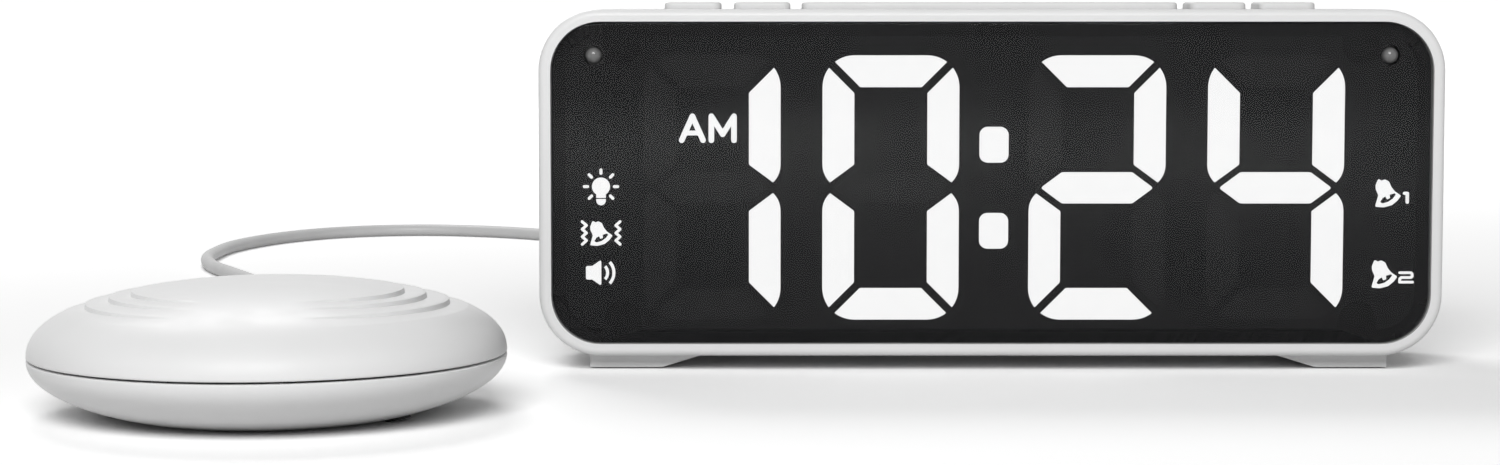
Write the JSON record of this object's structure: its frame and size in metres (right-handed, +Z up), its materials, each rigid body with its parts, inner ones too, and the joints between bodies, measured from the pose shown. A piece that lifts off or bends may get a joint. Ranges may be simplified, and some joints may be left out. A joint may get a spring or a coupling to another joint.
{
  "type": "bed shaker alarm clock",
  "caption": "Desk alarm clock with a large segment display behind a smoked lens, top buttons, and a round vibrating puck on a thin cord.",
  "frame": {"origin": "middle of the base of clock and puck together, on the table", "axes": "+X to the viewer's right along the clock's width, +Y from the display to the back, +Z up"},
  "size_m": [0.3242, 0.4824, 0.0817],
  "materials": {
    "white_shell": "fine satin moulded",
    "white_puck": "gloss moulded",
    "button_plastic": "satin moulded",
    "lens": "polished smoked acrylic",
    "black_tape": "foam tape",
    "black_plastic": "matt moulded",
    "lit_diffuser": "glowing milky resin",
    "dark_diffuser": "unlit resin",
    "clear_lamp": "clear epoxy dome",
    "lamp_chip": "small lamp package",
    "circuit_board": "solder resist",
    "component_black": "moulded package",
    "ribbon": "flat cable",
    "screw_steel": "zinc plated",
    "speaker_steel": "pressed steel",
    "speaker_paper": "pressed paper",
    "magnet": "plated ferrite",
    "cell_steel": "bright nickel",
    "contact_brass": "sprung strip",
    "pad_rubber": "soft grey pad",
    "foot_rubber": "matt black",
    "motor_steel": "drawn can",
    "bracket_plastic": "moulded",
    "weight_metal": "sintered",
    "lead_wire": "hook-up wire",
    "cord_jacket": "smooth light grey jacket",
    "plug_plastic": "moulded plug",
    "tie_strap": "soft strap"
  },
  "bodies": {
    "clock_and_puck": {"front_housing": "white_shell", "display_lens": "lens", "lens_tape": "black_tape", "segment_mask": "black_plastic", "hours_tens_lit": "lit_diffuser", "hours_units_lit": "lit_diffuser", "minutes_tens_lit": "lit_diffuser", "minutes_units_lit": "lit_diffuser", "dark_segments": "dark_diffuser", "colon_dots": "lit_diffuser", "am_indicator": "lit_diffuser", "alert_icons": "lit_diffuser", "alarm_icons": "lit_diffuser", "led_board": "circuit_board", "display_leds": "lamp_chip", "flash_led_left": "clear_lamp", "flash_led_right": "clear_lamp", "main_board": "circuit_board", "board_components": "component_black", "ribbon_cable": "ribbon", "button_board": "circuit_board", "tact_switches": "component_black", "board_screws": "screw_steel", "rear_cover": "white_shell", "housing_screws": "screw_steel", "speaker_frame": "speaker_steel", "speaker_cone": "speaker_paper", "speaker_magnet": "magnet", "battery_door": "white_shell", "door_screw": "screw_steel", "coin_cell": "cell_steel", "cell_contacts": "contact_brass", "power_inlet": "black_plastic", "puck_socket": "black_plastic", "mode_switch": "component_black", "left_skid": "white_shell", "right_skid": "white_shell", "foot_pads": "pad_rubber", "puck_top_shell": "white_puck", "puck_bottom_shell": "white_puck", "motor_can": "motor_steel", "motor_bracket": "bracket_plastic", "motor_leads": "lead_wire", "puck_screws": "screw_steel", "puck_feet": "foot_rubber", "strain_relief": "plug_plastic", "puck_cord": "cord_jacket", "cord_coil": "cord_jacket", "cord_tie": "tie_strap", "plug_lead": "cord_jacket", "shaker_plug": "plug_plastic"},
    "snooze": {"snooze_bar": "button_plastic"},
    "outer_left_key": {"outer_left_button": "button_plastic"},
    "inner_left_key": {"inner_left_button": "button_plastic"},
    "inner_right_key": {"inner_right_button": "button_plastic"},
    "outer_right_key": {"outer_right_button": "button_plastic"},
    "mode_slider": {"mode_knob": "black_plastic"},
    "rotor": {"motor_shaft": "screw_steel", "eccentric_weight": "weight_metal"}
  },
  "joints": [
    {"name": "snooze_press", "type": "slide", "parent": "clock_and_puck", "child": "snooze", "axis": [0, 0, -1], "range_m": [0, 0.0008], "stiffness_N_per_m": 2500},
    {"name": "outer_left_press", "type": "slide", "parent": "clock_and_puck", "child": "outer_left_key", "axis": [0, 0, -1], "range_m": [0, 0.0008], "stiffness_N_per_m": 2000},
    {"name": "inner_left_press", "type": "slide", "parent": "clock_and_puck", "child": "inner_left_key", "axis": [0, 0, -1], "range_m": [0, 0.0008], "stiffness_N_per_m": 2000},
    {"name": "inner_right_press", "type": "slide", "parent": "clock_and_puck", "child": "inner_right_key", "axis": [0, 0, -1], "range_m": [0, 0.0008], "stiffness_N_per_m": 2000},
    {"name": "outer_right_press", "type": "slide", "parent": "clock_and_puck", "child": "outer_right_key", "axis": [0, 0, -1], "range_m": [0, 0.0008], "stiffness_N_per_m": 2000},
    {"name": "mode_slide", "type": "slide", "parent": "clock_and_puck", "child": "mode_slider", "axis": [1, 0, 0], "range_m": [-0.002, 0.002]},
    {"name": "rotor_spin", "type": "hinge", "parent": "clock_and_puck", "child": "rotor", "pos_m": [-0.101, -0.0302, 0.0124], "axis": [1, 0, 0], "continuous": true}
  ]
}
